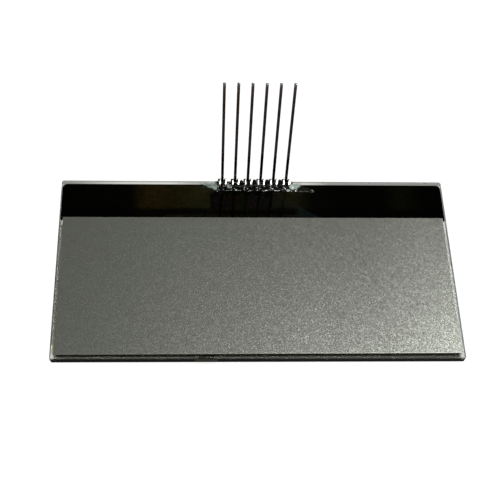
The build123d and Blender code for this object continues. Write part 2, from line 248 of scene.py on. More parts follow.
wire(grain,
     (where, "Object", stretched, 0), (given, "Stretch", stretched, 1), (given, "Per mm", per_metre, 0),
     (per_metre, 0, slow_scale, 0), (per_metre, 0, fast, "Scale"), (slow_scale, 0, slow, "Scale"),
     (stretched, 0, fast, "Vector"), (stretched, 0, slow, "Vector"), (given, "Detail", fast, "Detail"),
     (fast, "Fac", blend, "A"), (slow, "Fac", blend, "B"), (given, "Mottle", blend, "Factor"),
     (blend, "Result", sharp, "Value"), (sharp, "Result", shade, "Factor"), (given, "Dark", shade, "A"),
     (given, "Light", shade, "B"), (slow, "Fac", rough, "Value"), (given, "Low", rough, "To Min"),
     (given, "High", rough, "To Max"), (shade, "Result", made, "Colour"), (rough, "Result", made, "Roughness"),
     (blend, "Result", made, "Height"))
print("group", grain.name, "with", len(grain.nodes), "nodes")

# %% [markdown]
# Every material starts from the Principled shader, with the grain for its colour, roughness and bump. A
# number that is the same all over, such as the metallic share, is set on the shader's own socket.

# %% Helper for a grainy material
def inside(material):
    """Give a material's node tree and its Principled shader."""
    return material.node_tree, material.node_tree.nodes["Principled BSDF"]


def grainy(name, dark, light, low, high, per_mm, depth=0.0, metallic=0.0, stretch=(1, 1, 1), detail=3.0,
           mottle=0.35, specular=0.5):
    """Make a material whose colour, roughness and bump all come from the fine grain. The depth is in mm."""
    material = bpy.data.materials.new(name)
    material.use_nodes = True
    tree, shader = inside(material)
    for socket, value in (("Base Color", rgba(light)), ("Roughness", high), ("Metallic", metallic),
                          ("Specular IOR Level", specular)):
        shader.inputs[socket].default_value = value
    node = add_node(tree, "ShaderNodeGroup", {
        "Per mm": per_mm, "Stretch": stretch, "Dark": rgba(dark), "Light": rgba(light), "Low": low, "High": high,
        "Detail": detail, "Mottle": mottle}, node_tree=grain, name="grain")
    wire(tree, (node, "Colour", shader, "Base Color"), (node, "Roughness", shader, "Roughness"))
    if depth:
        bump = add_node(tree, "ShaderNodeBump", {"Strength": 1.0, "Distance": depth * MM})
        wire(tree, (node, "Height", bump, "Height"), (bump, "Normal", shader, "Normal"))
    return material


print("helper for a grainy material ready")

# %% [markdown]
# A real panel isn't the same all over: what lies below the glass changes from place to place. So some colours
# follow shares and ramps that read where a point is. A ramp runs over the whole width of the glass unless it
# is given other ends. A tint multiplies the colour by a ramp, as a coloured coat would, and an overlay covers
# it.

# %% Helpers for colours that follow the place
def share_across(tree, start, end, axis="X", low=0.0, high=1.0):
    """Add a value that goes from low to high between two places in millimetres along one axis."""
    where = add_node(tree, "ShaderNodeTexCoord")
    split = add_node(tree, "ShaderNodeSeparateXYZ")
    share = add_node(tree, "ShaderNodeMapRange",
                     {"From Min": start * MM, "From Max": end * MM, "To Min": low, "To Max": high})
    wire(tree, (where, "Object", split, 0), (split, axis, share, "Value"))
    return share


def colour_across(tree, stops, start=-half_width, end=half_width, axis="X"):
    """Add a colour ramp that runs between two places in millimetres along one axis."""
    share = share_across(tree, start, end, axis)
    ramp = colour_ramp(tree, stops)
    wire(tree, (share, "Result", ramp, "Fac"))
    return ramp


def both_of(tree, first, second):
    """Multiply two shares, so that only what lies in both is left."""
    product = add_node(tree, "ShaderNodeMath", operation="MULTIPLY")
    wire(tree, (first, "Result", product, 0), (second, "Result", product, 1))
    return product


def tint(material, factor, output="Color"):
    """Multiply what feeds the base colour by a node's output."""
    tree, shader = inside(material)
    tinted = add_node(tree, "ShaderNodeVectorMath", operation="MULTIPLY")
    tree.links.new(shader.inputs["Base Color"].links[0].from_socket, tinted.inputs[0])
    wire(tree, (factor, output, tinted, 1), (tinted, 0, shader, "Base Color"))


def overlay(material, colour, mask):
    """Lay a colour over what feeds the base colour, where a mask says so."""
    tree, shader = inside(material)
    layer = add_node(tree, "ShaderNodeMix", {"B": rgba(colour)}, data_type="RGBA")
    tree.links.new(shader.inputs["Base Color"].links[0].from_socket, layer.inputs["A"])
    wire(tree, (mask, 0, layer, "Factor"), (layer, "Result", shader, "Base Color"))


print("helpers for colours ready")

# %% [markdown]
# The next helpers do what a hand does in edit mode: deselect everything, pick edges or corners by where they
# are, and go on from there. A picked set is what the next operator acts on, so each pick starts clean.

# %% Helpers for picking and shaping
def near(value, target):
    """Say whether a length is within a thousandth of a millimetre of another."""
    return abs(value - target) < 0.001 * MM


def level(a, b):
    """Say whether an edge lies level."""
    return near(a.z, b.z)


def upright(a, b):
    """Say whether an edge of a block stands upright."""
    return not level(a, b)


def add_block(name, low, high):
    """Add a cube primitive between two corners, with its size and place already in its mesh."""
    bpy.ops.object.select_all(action="DESELECT")
    bpy.ops.mesh.primitive_cube_add(size=1, location=(low + high) / 2, scale=high - low)
    bpy.ops.object.transform_apply(location=True, rotation=True, scale=True)
    piece = bpy.context.object
    piece.name = piece.data.name = name
    return piece


def pick(piece, kind, test):
    """Select the corners or edges of a piece that pass a test, and stay in edit mode."""
    bpy.ops.object.mode_set(mode="OBJECT")
    bpy.context.view_layer.objects.active = piece
    mesh = piece.data
    for part in (mesh.vertices, mesh.edges, mesh.polygons):
        part.foreach_set("select", [False] * len(part))
    bpy.context.tool_settings.mesh_select_mode = (kind == "VERT", kind == "EDGE", False)
    if kind == "VERT":
        for corner in mesh.vertices:
            corner.select = bool(test(corner.co))
    else:
        for edge in mesh.edges:
            a, b = (mesh.vertices[i].co for i in edge.vertices)
            edge.select = bool(test(a, b))
    bpy.ops.object.mode_set(mode="EDIT")


def grow(vector):
    """Extrude what is selected by a vector."""
    bpy.ops.mesh.extrude_region_move(TRANSFORM_OT_translate={"value": vector})


def shift(vector):
    """Move what is selected by a vector."""
    bpy.ops.transform.translate(value=vector)


print("helpers for shaping ready")

# %% [markdown]
# A finished piece has its faces turned outwards and its modifiers applied. Then it gets its materials, rides on
# the body, and the imported solids it stands for are hidden.

# %% Helpers for finishing a piece
def done(piece):
    """Turn the faces of a piece outwards and leave edit mode."""
    bpy.ops.mesh.select_all(action="SELECT")
    bpy.ops.mesh.normals_make_consistent(inside=False)
    bpy.ops.object.mode_set(mode="OBJECT")
    return piece


def apply_modifiers(piece):
    """Apply every modifier of a piece, in order."""
    bpy.context.view_layer.objects.active = piece
    for modifier in list(piece.modifiers):
        bpy.ops.object.modifier_apply(modifier=modifier.name)


def dress(piece, materials, slot, *replaced):
    """Give a piece its materials, put it on the body, and hide the imported solids it stands for."""
    piece.data.materials.clear()
    for material in materials:
        piece.data.materials.append(material)
    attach(piece, "root")
    if replaced:
        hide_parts(*replaced)
    print(piece.name, len(piece.data.polygons), "faces")


print("helpers for finishing ready")

# %% [markdown]
# Float glass is clear, with a faint green cast. The Principled shader with full transmission bends the light as
# glass does. Lamp light has trouble finding its way through bent surfaces, so shadow rays are let straight
# through by mixing in a Transparent shader for them. The cut edges are scribed and snapped, so they get a glass
# with ripples along the cut. The front cuts are nearly black glass that mirrors little: they show the dark
# layers behind them, and their black is also painted shade along the panel's front. On the rear plate's front
# cut a ramp paints light towards the right end, where the lamp is. A broken rim is rough.

# %% Glass materials
ALONG_CUT = (0.4, 0.4, 2.0)
SHADOW_TINT = (0.93, 0.96, 0.94)


def glass_material(name, tint, low, high, per_mm, depth, stretch=(1, 1, 1), clear=1.0, ior=1.52,
                   specular=0.5):
    """Make clear glass whose roughness and bump come from the fine grain."""
    material = grainy(name, tint, tint, low, high, per_mm, depth, stretch=stretch, specular=specular)
    tree, shader = inside(material)
    shader.inputs["Transmission Weight"].default_value = clear
    shader.inputs["IOR"].default_value = ior
    paths = add_node(tree, "ShaderNodeLightPath")
    through = add_node(tree, "ShaderNodeBsdfTransparent", {"Color": rgba(SHADOW_TINT)})
    mix = add_node(tree, "ShaderNodeMixShader")
    wire(tree, (paths, "Is Shadow Ray", mix, "Fac"), (shader, 0, mix, 1), (through, 0, mix, 2),
         (mix, 0, tree.nodes["Material Output"], "Surface"))
    return material


clear_glass = glass_material("clear_glass", (0.95, 0.98, 0.96), 0.0, 0.01, 0.2, 0.00002)
cut_glass = glass_material("cut_glass_edge", (0.72, 0.74, 0.70), 0.04, 0.16, 3.0, 0.012, ALONG_CUT,
                           clear=0.86)
ground_rim = glass_material("ground_rim", (0.26, 0.27, 0.23), 0.25, 0.45, 6.0, 0.006)
# Painted shade: the front cuts are tinted nearly black, as if in the shadow along the panel's front.
dark_edge = glass_material("dark_cut_edge", 0.0001, 0.10, 0.20, 3.0, 0.002, ALONG_CUT, ior=1.15,
                           specular=0.04)
shaded_front_cut = glass_material("shaded_front_cut_edge", 0.001, 0.10, 0.20, 3.0, 0.002, ALONG_CUT, ior=1.2,
                           specular=0.04)
tree, shader = inside(shaded_front_cut)
# Painted light: along the rear plate's front cut the black lightens towards the right end, the lamp's side.
right_end_light = colour_across(tree, [
    (0.0, (0.0004, 0.0004, 0.0003)), (0.5, (0.0012, 0.0012, 0.001)), (0.9, (0.03, 0.03, 0.026)),
])
wire(tree, (right_end_light, "Color", shader, "Base Color"))
print("glass", clear_glass.name, cut_glass.name, ground_rim.name, dark_edge.name, shaded_front_cut.name)

# %% [markdown]
# A face of the glass that lies on resin or film is wetted: nothing is mirrored there, so its refraction is that
# of air. Its tint paints light and shade onto what comes through from below. Along the row at the back edge,
# where the margin behind the black coat is bare and shows the floor, a ramp paints the floor's light and shade.
# The side margins are painted in shade, darker than the front corners, which are painted light.

# %% Wetted glass
BACK_ROW = (back_edge - 1.075, back_edge - 0.675)
CORNER_END = (front_edge + 3.325, front_edge + 2.925)

wetted = glass_material("wetted_face", 1, 0.0, 0.0, 0.2, 0.0, ior=1.0)
tree, shader = inside(wetted)
# Painted shade at the side margins, the left one darkest.
side_light_and_shade = colour_across(tree, [
    (0.0038, (0.46, 0.42, 0.37)), (0.0048, 1), (0.9952, 1), (0.9962, (0.86, 0.86, 0.88)),
])
# Painted light and shade of the floor seen through the bare back margin.
back_row = colour_across(tree, [
    (0.0, (0.12, 0.12, 0.10)), (0.05, (0.21, 0.21, 0.18)), (0.16, (0.80, 0.80, 0.70)), (0.28, (1, 1, 0.92)),
    (0.335, (0.50, 0.50, 0.46)), (0.375, (0.33, 0.33, 0.31)), (0.395, 1), (0.56, 1), (0.64, (0.8, 0.8, 0.72)),
    (0.70, (0.20, 0.20, 0.18)), (1.0, (0.16, 0.16, 0.14)),
])
at_back = share_across(tree, *BACK_ROW, "Y")
front_corner_light = share_across(tree, *CORNER_END, "Y")
wire(tree, (side_light_and_shade, "Color", shader, "Base Color"))
# Painted light: the front corners are pale.
overlay(wetted, (0.95, 0.94, 0.90), front_corner_light)
back_light_and_shade = add_node(tree, "ShaderNodeMix", data_type="RGBA")
tree.links.new(shader.inputs["Base Color"].links[0].from_socket, back_light_and_shade.inputs["A"])
wire(tree, (back_row, "Color", back_light_and_shade, "B"), (at_back, "Result", back_light_and_shade, "Factor"),
     (back_light_and_shade, "Result", shader, "Base Color"))
print("wetted glass", wetted.name)

# %% [markdown]
# Each glass plate starts as a block. Its four upright edges are clipped, as on the real cells, whose corners
# are broken off so that they don't chip. Then the sharp rims are broken lightly. The plates are kept a few
# thousandths of a millimetre off their neighbours, because two surfaces in the same place flicker.

# %% Glass plates
CORNER_CLIP = 0.32 * MM
RIM_BREAK = 0.11 * MM
FREE, CUT, RIM, WETTED, FRONT_CUT = range(5)
hair_gap = Vector((0, 0, HAIR))


def glass_plate(name, low, high):
    """Model one cut plate with clipped corners and broken rims."""
    plate = add_block(name, low, high)
    pick(plate, "EDGE", upright)
    bpy.ops.mesh.bevel(offset=CORNER_CLIP, segments=1, affect="EDGES")
    pick(plate, "EDGE", level)
    bpy.ops.mesh.bevel(offset=RIM_BREAK, segments=1, affect="EDGES")
    return done(plate)


def mark_faces(plate, bare):
    """Give each face the material of its kind, told by its slope. The top is wetted too unless it is bare."""
    for face in plate.data.polygons:
        rise, back = face.normal.z, face.normal.y
        sloping = abs(rise) > 0.1
        if back < -0.9 or (back < -0.5 and sloping and (rise < 0 or not bare)):
            face.material_index = FRONT_CUT
        elif abs(rise) > 0.99:
            face.material_index = FREE if rise > 0 and bare else WETTED
        else:
            face.material_index = RIM if sloping else CUT


rear_plate = glass_plate("rear_plate", rear_low + hair_gap, rear_high)
dress(rear_plate, [clear_glass, cut_glass, ground_rim, wetted, shaded_front_cut], "plate_glass", "rear_glass")
mark_faces(rear_plate, bare=True)
front_plate = glass_plate("front_plate", front_low + hair_gap, front_high - hair_gap)
dress(front_plate, [clear_glass, cut_glass, cut_glass, wetted, dark_edge], "plate_glass", "front_glass")
mark_faces(front_plate, bare=False)

# %% [markdown]
# The rear film is what fills most of the photograph: a polariser with a metallic reflector on its back. It looks
# dull grey where it mirrors the dark room and pale where the lamp's glow reaches it, with a fine sparkle. A bump
# can't make a sparkle as fine as a pixel, so the surface is divided into small cells, each tilted a little its
# own way. A ramp along the panel also paints light and shade into its tone, a few percent lighter or darker. The
# film's cut edge shows the clear layers inside, which catch the light as a thin pale line; a ramp paints that
# line darker on the left and lighter on the right, the lamp's side.

# %% Materials of the films
FLAKES_PER_MM = 7.2
FLAKE_TILT = 0.105

film_grey = grainy("film_grey", (0.172, 0.178, 0.154), (0.202, 0.209, 0.184), 0.295, 0.31, 4.4, metallic=0.66,
                   detail=0.0, mottle=0.03)
tree, shader = inside(film_grey)
# Painted light and shade: a ramp along the panel makes the film's tone a few percent lighter or darker.
tint(film_grey, colour_across(tree, [
    (0.04, 1.03), (0.19, 1.06), (0.30, 1.10), (0.41, 1.07), (0.56, 1.02), (0.64, 0.985), (0.71, 0.93),
    (0.79, 0.895), (0.86, 0.935), (0.94, 1.01),
]))
where = add_node(tree, "ShaderNodeTexCoord")
flakes = add_node(tree, "ShaderNodeTexVoronoi", {"Scale": FLAKES_PER_MM / MM})
centred = add_node(tree, "ShaderNodeVectorMath", {1: (0.5, 0.5, 0.5)}, operation="SUBTRACT")
tilt = add_node(tree, "ShaderNodeVectorMath", {1: (FLAKE_TILT, FLAKE_TILT, 0)}, operation="MULTIPLY")
facing = add_node(tree, "ShaderNodeNewGeometry")
tilted = add_node(tree, "ShaderNodeVectorMath", operation="ADD")
unit = add_node(tree, "ShaderNodeVectorMath", operation="NORMALIZE")
wire(tree, (where, "Object", flakes, "Vector"), (flakes, "Color", centred, 0), (centred, 0, tilt, 0),
     (tilt, 0, tilted, 0), (facing, "Normal", tilted, 1), (tilted, 0, unit, 0), (unit, 0, shader, "Normal"))
film_edge = grainy("film_cut_edge", (0.70, 0.71, 0.66), (1, 1, 0.97), 0.25, 0.4, 9.0, 0.002)
# Painted light: the cut edge is darkest on the left and lightest at the right end, the lamp's side.
tint(film_edge, colour_across(film_edge.node_tree, [
    (0.011, (0.20, 0.20, 0.19)), (0.5, (0.32, 0.32, 0.30)), (0.989, 1),
]))
view_film = grainy("viewing_film", (0.18, 0.20, 0.165), (0.22, 0.24, 0.20), 0.08, 0.14, 4.0, 0.0004)
view_edge = grainy("viewing_film_edge", (0.004, 0.004, 0.003), (0.010, 0.010, 0.008), 0.4, 0.5, 9.0, 0.002)
print("films", film_grey.name, film_edge.name, view_film.name, view_edge.name)

# %% [markdown]
# A film is a thin block too, with rounded corners and a rounded rim on the side that faces away from the
# glass. The photographed rear film was laid a little short and out of square, so its front right corner is
# moved back.

# %% Films
FILM_CORNER = 0.1 * MM
FILM_BREAK = 0.08 * MM
FILM_SHORT = 0.07 * MM
FILM_SKEW = 0.19 * MM
ROUNDING = 4


def film_sheet(name, low, high, outer_z, skew):
    """Model one film with rounded corners, a broken outer rim and a front cut out of square."""
    sheet = add_block(name, low, high)
    pick(sheet, "EDGE", upright)
    bpy.ops.mesh.bevel(offset=FILM_CORNER, segments=ROUNDING, affect="EDGES")
    pick(sheet, "EDGE", lambda a, b: near(a.z, outer_z) and near(b.z, outer_z))
    bpy.ops.mesh.bevel(offset=FILM_BREAK, segments=ROUNDING, affect="EDGES")
    corner_x, corner_y = high.x - 2 * FILM_CORNER, low.y + 2 * FILM_CORNER
    pick(sheet, "EDGE", lambda a, b: min(a.x, b.x) > corner_x and max(a.y, b.y) < corner_y)
    shift((0, skew, 0))
    return done(sheet)


laid_low = film_low + hair_gap + Vector((0, FILM_SHORT, 0))
rear_film = film_sheet("rear_film", laid_low, film_high, film_high.z, FILM_SKEW)
dress(rear_film, [film_grey, film_edge], "rear_film", "rear_polariser")
front_film = film_sheet("front_film", view_low, view_high - hair_gap, view_low.z, 0)
dress(front_film, [view_film, view_edge], "front_film", "front_polariser")
for sheet, outwards in ((rear_film, 1), (front_film, -1)):
    for face in sheet.data.polygons:
        face.material_index = 0 if face.normal.z * outwards > 0.95 else 1

# %% [markdown]
# Between the plates lie the liquid layer and its resin seal, thinner than a hair. Only the seal shows, as a grey
# line through the bare margins of the glass. Its colour is painted light and shade: painted light along the
# sides and under the front margin, painted shade elsewhere, and a pale painted light at the front left corner.
# The imported solids already have the right shape, so they only get materials.

# %% Seal and liquid
LEFT_MARGIN = (0.85 - half_width, 0.55 - half_width)
FRONT_MARGIN = (front_edge + 0.225, front_edge + 1.025)


def coat_node(name, material):
    """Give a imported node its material."""
    mesh = nodes[name].data
    mesh.materials.clear()
    mesh.materials.append(material)


seal_resin = grainy("seal_resin", (0.7, 0.7, 0.6), (1, 1, 0.9), 0.5, 0.6, 5.0, 0.002, specular=0.1)
tree = seal_resin.node_tree
# Painted light along the side margins, painted shade in between.
side_light_and_shade = colour_across(tree, [
    (0.0, (0.38, 0.37, 0.39)), (0.012, (0.34, 0.33, 0.345)), (0.016, (0.03, 0.028, 0.02)),
    (0.5, (0.02, 0.02, 0.015)), (0.984, (0.03, 0.03, 0.024)), (0.990, (0.52, 0.52, 0.58)),
])
# Painted light under the front margin, painted shade behind it.
front_margin_light = colour_across(tree, [
    (0.44, (0.09, 0.086, 0.092)), (0.50, (0.008, 0.008, 0.006)),
], *FRONT_MARGIN, "Y")
lighter = add_node(tree, "ShaderNodeVectorMath", operation="MAXIMUM")
# Painted light: the front left corner is pale.
at_corner = both_of(tree, share_across(tree, *LEFT_MARGIN), share_across(tree, *CORNER_END, "Y"))
corner_light = add_node(tree, "ShaderNodeMix", {"B": rgba((0.62, 0.60, 0.50))}, data_type="RGBA")
wire(tree, (side_light_and_shade, "Color", lighter, 0), (front_margin_light, "Color", lighter, 1), (lighter, 0, corner_light, "A"),
     (at_corner, 0, corner_light, "Factor"))
tint(seal_resin, corner_light, "Result")
liquid = grainy("liquid_layer", (0.01, 0.011, 0.009), (0.02, 0.021, 0.018), 0.2, 0.3, 2.0, 0.0005)
coat_node("seal_frame", seal_resin)
coat_node("liquid_crystal", liquid)
print("cell", len(nodes["seal_frame"].data.polygons), "triangles in the seal")

# %% [markdown]
# Behind the glass ledge lies a black resin coat that keeps light off the chip. Its shape is right in the
# imported model, so it gets a black that is only a little shiny, with the soft unevenness of a brushed coat.
# A colour ramp along the ledge gives the black faint brown and olive patches, which grow from the chip's front
# edge backwards.

# %% Black coat and black resin
CAST_GROWS = (chip_low.y / MM, chip_low.y / MM + 0.7)


def gloss_underneath(material):
    """Put a clear coat only on the faces that look down or sideways."""
    tree, shader = inside(material)
    facing = add_node(tree, "ShaderNodeNewGeometry")
    split = add_node(tree, "ShaderNodeSeparateXYZ")
    mask = add_node(tree, "ShaderNodeMapRange", {"From Min": 0.5, "From Max": 0.2})
    wire(tree, (facing, "Normal", split, 0), (split, "Z", mask, "Value"),
         (mask, "Result", shader, "Coat Weight"))


black_resin = grainy("black_resin", 0.002, 0.006, 0.2, 0.35, 0.8, 0.02, specular=0.0)
gloss_underneath(black_resin)
black_coat = grainy("black_coat", (0.0002, 0.0002, 0.0001), (0.0010, 0.0009, 0.0006), 0.35, 0.5, 1.2, 0.004,
                    specular=0.0)
gloss_underneath(black_coat)
tree = black_coat.node_tree
tint(black_coat, colour_across(tree, [
    (0.0, (0.3, 0.3, 0.2)), (0.18, (0.6, 0.6, 0.4)), (0.225, (12, 8, 2)), (0.28, (9, 7, 2)),
    (0.33, (11, 10.5, 3.5)), (0.375, (13, 13, 7)), (0.45, (3, 3, 2)), (0.54, (5, 5, 3.4)), (0.60, (8, 8.3, 5)),
    (0.65, (1.5, 1.5, 1)), (0.73, (0.4, 0.4, 0.3)), (0.84, (0.5, 0.5, 0.3)), (0.89, (3.0, 3.0, 1.6)),
    (0.94, (0.4, 0.4, 0.3)),
]))
tint(black_coat, share_across(tree, *CAST_GROWS, "Y", low=0.12), "Result")
coat_node("light_shield", black_coat)
coat_node("pin_glue_front", black_resin)
print("black", black_coat.name, black_resin.name)

# %% [markdown]
# Conductor strips and the chip lie under the ledge. Their metal mirrors only the dark room, so they are
# barely seen. The strips' colour drifts from olive on the left to blue-grey on the right, as thin clear coats
# do, and all but the rightmost ones are darker just in front of the chip. The paste between the pins' jaws
# and their pads is dark too.

# %% Conductors
INPUT_ENDS = (-9, 9)
OUTPUT_ENDS = (-20, 20)
RIGHT_FAN = (8.0, 9.0)
STRIP_DEPTH = (front_high.y / MM, front_high.y / MM + 4.0)


def thin_metal(name, per_mm, stops, start, end):
    """Make a metal whose colour comes from a ramp along x and varies finely."""
    material = grainy(name, 0.6, 1, 0.005, 0.015, per_mm, 0.000001, metallic=1.0)
    tint(material, colour_across(material.node_tree, stops, start, end))
    return material


input_strip = thin_metal("input_strip", 3.0, [
    (0.0, (0.10, 0.11, 0.08)), (1.0, (0.12, 0.12, 0.10)),
], *INPUT_ENDS)
output_strip = thin_metal("output_strip", 3.0, [
    (0.1, (0.60, 0.55, 0.18)), (0.28, (0.62, 0.60, 0.28)), (0.38, (0.60, 0.36, 0.16)),
    (0.48, (0.44, 0.52, 0.20)), (0.56, (0.64, 0.34, 0.18)), (0.60, (0.60, 0.62, 0.50)),
    (0.69, (0.60, 0.62, 0.52)), (0.72, (0.70, 0.95, 1.0)), (0.80, (0.60, 0.85, 1.0)),
    (0.86, (0.10, 0.14, 0.16)),
], *OUTPUT_ENDS)
tree = output_strip.node_tree
before_chip = colour_across(tree, [(0.32, 1), (0.40, 0.10), (0.70, 0.10), (0.80, 1)], *STRIP_DEPTH, "Y")
lit = add_node(tree, "ShaderNodeVectorMath", operation="MAXIMUM")
wire(tree, (before_chip, "Color", lit, 0), (share_across(tree, *RIGHT_FAN), "Result", lit, 1))
tint(output_strip, lit, 0)
paste = grainy("paste", 0.01, 0.02, 0.5, 0.6, 5.0, 0.004)
coat_node("input_tracks", input_strip)
coat_node("output_tracks", output_strip)
for i in PINS:
    coat_node(f"contact_paste_{i}", paste)
print("conductors dressed")

# %% [markdown]
# The chip's face is a pattern of blocks, each with its own fine rows. They are too fine to draw one by one,
# so two brick textures stand for them, and a ramp along the chip gives their colours. The bond film over it
# is a nearly clear resin with faint dark specks.

# %% Chip and its bond film
BLOCKS = {"Brick Width": 1.9, "Row Height": 0.85, "Mortar Size": 0.05}
ROWS = {"Brick Width": 0.34, "Row Height": 0.36, "Mortar Size": 0.045}

silicon = thin_metal("silicon", 4.0, [
    (0.0, (0.20, 0.20, 0.16)), (0.10, (0.44, 0.44, 0.40)), (0.16, (0.62, 0.52, 0.40)),
    (0.34, (0.56, 0.46, 0.34)), (0.38, (0.92, 0.52, 0.20)), (0.48, (0.70, 0.70, 0.14)),
    (0.55, (0.48, 0.66, 0.42)), (0.64, (0.68, 0.44, 0.48)), (0.72, (0.60, 0.62, 0.57)),
    (0.80, (0.90, 0.90, 0.86)), (0.84, (0.58, 0.60, 0.55)), (1.0, (0.60, 0.62, 0.56)),
], chip_low.x / MM, chip_high.x / MM)
tree = silicon.node_tree
where = add_node(tree, "ShaderNodeTexCoord")
for sizes, dimmer, joint, offset in ((BLOCKS, 0.65, 0.10, 0.35), (ROWS, 0.7, 0.35, 0.0)):
    shades = {"Color1": rgba(1), "Color2": rgba(dimmer), "Mortar": rgba(joint)}
    bricks = add_node(tree, "ShaderNodeTexBrick", {"Scale": 1 / MM, **shades, **sizes}, offset=offset)
    wire(tree, (where, "Object", bricks, "Vector"))
    tint(silicon, bricks)
bond = grainy("bond_film", (0.004, 0.003, 0.002), (0.008, 0.006, 0.003), 0.3, 0.4, 3.0, 0.0005,
              specular=0.0)
tree, shader = inside(bond)
where = add_node(tree, "ShaderNodeTexCoord")
speckle = add_node(tree, "ShaderNodeTexNoise", {"Scale": 2.5 / MM, "Detail": 1.0})
thin = add_node(tree, "ShaderNodeMapRange",
                {"From Min": 0.35, "From Max": 0.65, "To Min": 0.02, "To Max": 0.12})
wire(tree, (where, "Object", speckle, "Vector"), (speckle, "Fac", thin, "Value"),
     (thin, "Result", shader, "Alpha"))
coat_node("driver_chip", silicon)
coat_node("chip_bond_film", bond)
print("chip", round((chip_high.x - chip_low.x) / MM, 1), "mm long")

# %% [markdown]
# The pins are stamped from tinned strip. Tin plate is a soft mirror: it shows the black ledge in its lower half
# and the grey film higher up, so the legs look black at the foot and brown towards the tip. That look is also
# painted into the colour: above the head a dark brown band is painted reflection, dimming what the legs mirror,
# and the foot of each leg, between its tongues, is painted nearly black as shade.

# %% Tin
PITCH = 2.54
LEG_MIRROR_BROWN = (0.21, 0.155, 0.15)
LEG_FOOT_SHADE = (0.03, 0.027, 0.027)
ALONG_LEG = (1, 1, 0.15)
FOOT_SHADE_END, BROWN_START = rear_z / MM + 0.8, rear_z / MM + 1.3
BROWN_END, BRIGHT_TIP = pin_high.z / MM - 0.9, pin_high.z / MM - 0.3
LEG_SIDE, LEG_MIDDLE = 0.48 * MM, 0.34 * MM

tin = grainy("tin_plate", (0.42, 0.40, 0.385), (0.56, 0.54, 0.52), 0.10, 0.20, 3.0, 0.0015, 1.0, ALONG_LEG)
tree = tin.node_tree
above_head = share_across(tree, FOOT_SHADE_END, BROWN_START, "Z")
below_tip = share_across(tree, BRIGHT_TIP, BROWN_END, "Z")
# Painted reflection: a dark brown band dims what the legs mirror above the head.
overlay(tin, LEG_MIRROR_BROWN, both_of(tree, above_head, below_tip))
at_foot = share_across(tree, BROWN_START, FOOT_SHADE_END, "Z")
where = add_node(tree, "ShaderNodeTexCoord")
split = add_node(tree, "ShaderNodeSeparateXYZ")
aside = add_node(tree, "ShaderNodeMath", {1: -(pin_low.x + pin_high.x) / 2}, operation="ADD")
from_pin = add_node(tree, "ShaderNodeMath", {1: PITCH / 2 * MM}, operation="PINGPONG")
at_middle = add_node(tree, "ShaderNodeMapRange", {"From Min": LEG_SIDE, "From Max": LEG_MIDDLE})
wire(tree, (where, "Object", split, 0), (split, "X", aside, 0), (aside, 0, from_pin, 0),
     (from_pin, 0, at_middle, "Value"))
# Painted shade: the foot of each leg, between its tongues, is darkened nearly to black.
overlay(tin, LEG_FOOT_SHADE, both_of(tree, at_middle, at_foot))
print("metal", tin.name)

# %% [markdown]
# A clip pin is stamped from one strip of tinned bronze: a web behind the glass edge, two sprung tongues that
# come over the edge, a jaw that goes under it, and a long leg. It could be cut from blocks, but a stamped
# part has the same thickness everywhere and round bends, so it is drawn as a sheet through the middle of the
# metal and given its thickness last.

# %% Sizes of a clip pin
STOCK = 0.25 * MM
LEG_HALF = 0.275 * MM
SLIT = 0.07 * MM
HEAD_HALF = 0.87 * MM
JAW_HALF = 0.30 * MM
WEB_LOW = rear_z - 0.55 * MM
WEB_CORNER = 0.3 * MM
TOP_BEND = 0.25 * MM
CREST_Z = rear_z + 0.75 * MM - STOCK / 2
FOOT_Z = rear_z + STOCK / 2
FOOT_BACK = back_y - 1.0 * MM
FOOT_FRONT = back_y - 1.25 * MM
TONGUE_TIP = back_y - 1.5 * MM
TONGUE_TIP_RISE = 0.08 * MM
JAW_Z = 0.745 * MM
JAW_KNEE = back_y - 1.3 * MM
JAW_TIP = back_y - 1.6 * MM
JAW_TIP_DROP = 0.15 * MM
LEG_TOP = pin_high.z - 0.01 * MM
TIP_BREAK = 0.08 * MM
web_y = back_y + 0.175 * MM
print("web plane at y", round(web_y / MM, 3), "mm, leg", round((LEG_TOP - rear_z) / MM, 2), "mm long")

# %% [markdown]
# The sheet starts as a small plane, the middle of the web. It grows edge by edge to both sides and up into
# the leg, whose tip is narrowed as the cutter leaves it.

# %% Sheet of the web and leg
def on_top(a, b):
    """Say whether an edge of the sheet lies at the level of the glass."""
    return near(a.z, rear_z) and near(b.z, rear_z)


web_middle = (0, web_y, (WEB_LOW + rear_z) / 2)
bpy.ops.object.select_all(action="DESELECT")
bpy.ops.mesh.primitive_plane_add(size=1, location=web_middle, rotation=(math.pi / 2, 0, 0))
pin = bpy.context.object
pin.name = pin.data.name = "clip_pin_1"
pin.scale = (2 * LEG_HALF, rear_z - WEB_LOW, 1)
bpy.ops.object.transform_apply(location=True, rotation=True, scale=True)
steps = (LEG_HALF, JAW_HALF, LEG_HALF + SLIT, HEAD_HALF - WEB_CORNER, HEAD_HALF)
for side in (-1, 1):
    for inner, outer in zip(steps, steps[1:]):
        pick(pin, "EDGE", lambda a, b: near(a.x, side * inner) and near(b.x, side * inner))
        grow((side * (outer - inner), 0, 0))
pick(pin, "VERT", lambda c: near(abs(c.x), HEAD_HALF) and near(c.z, WEB_LOW))
shift((0, 0, WEB_CORNER))
pick(pin, "EDGE", lambda a, b: on_top(a, b) and near(a.x + b.x, 0) and not near(a.x, b.x))
grow((0, 0, LEG_TOP - TIP_BREAK - rear_z))
grow((0, 0, TIP_BREAK))
bpy.ops.transform.resize(value=(1 - TIP_BREAK / LEG_HALF, 1, 1))
bpy.ops.object.mode_set(mode="OBJECT")
print("web and leg", len(pin.data.polygons), "faces")

# %% [markdown]
# The tongues rise beside the leg, turn over the edge of the glass and press down on it. Their bend is spun
# round its centre, which gives an even arc, and the slope then goes down to the foot.

